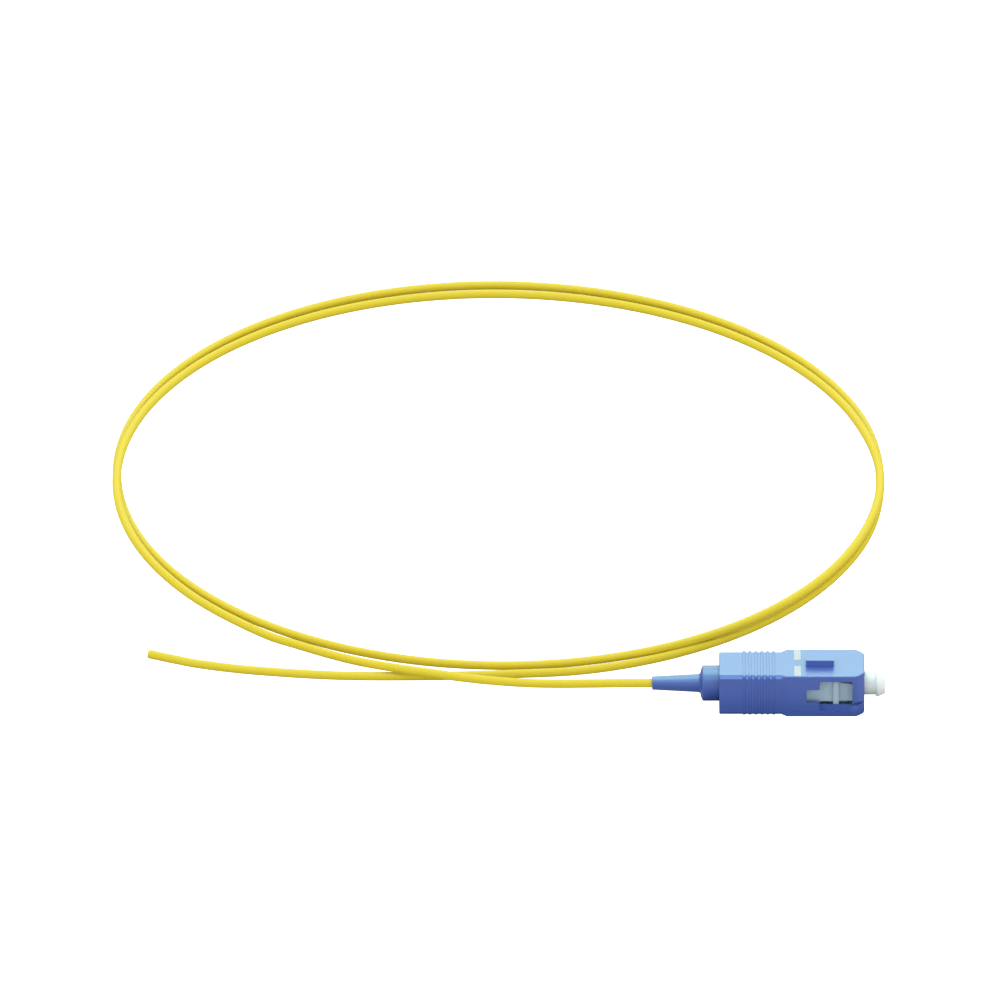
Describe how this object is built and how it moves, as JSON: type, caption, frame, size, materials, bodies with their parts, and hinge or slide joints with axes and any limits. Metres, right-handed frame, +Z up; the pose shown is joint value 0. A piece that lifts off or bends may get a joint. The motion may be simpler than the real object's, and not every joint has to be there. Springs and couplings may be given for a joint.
{
  "type": "fibre optic pigtail",
  "caption": "Fibre optic pigtail: a square push-pull plug with dust cap and short boot on a small yellow cord that lies in a loose loop and ends in a bare cut end.",
  "frame": {"origin": "On the floor plane, below the middle of the plug with its boot and dust cap, which lies on its flat bottom face.", "axes": "+X is the plug's axis and points out of its mating end, +Z is up, away from the face it lies on and towards the key, and +Y points to the side where the cord's loop lies."},
  "size_m": [0.1252, 0.1437, 0.0085],
  "materials": {
    "blue_plastic": "moulded, satin gloss",
    "blue_boot": "soft moulded, satin",
    "frame_plastic": "moulded, satin",
    "zirconia": "ground and polished",
    "plated_metal": "turned and nickel plated",
    "spring_steel": "drawn wire",
    "cap_plastic": "translucent, soft moulded",
    "cord_jacket": "extruded, satin"
  },
  "bodies": {
    "plug_body": {"plug_frame": "frame_plastic", "stop_ring": "plated_metal", "spring": "spring_steel", "boot": "blue_boot", "cord": "cord_jacket"},
    "grip": {"grip_housing": "blue_plastic"},
    "ferrule_set": {"ferrule": "zirconia", "ferrule_flange": "plated_metal"},
    "cap": {"dust_cap": "cap_plastic"}
  },
  "joints": [
    {"name": "grip_slide", "type": "slide", "parent": "plug_body", "child": "grip", "axis": [1, 0, 0], "range_m": [-0.0015, 0]},
    {"name": "ferrule_float", "type": "slide", "parent": "plug_body", "child": "ferrule_set", "axis": [1, 0, 0], "range_m": [-0.0008, 0], "stiffness_N_per_m": 1500, "springref_m": 0.002},
    {"name": "cap_pull", "type": "slide", "parent": "plug_body", "child": "cap", "axis": [1, 0, 0], "range_m": [0, 0.012]}
  ]
}
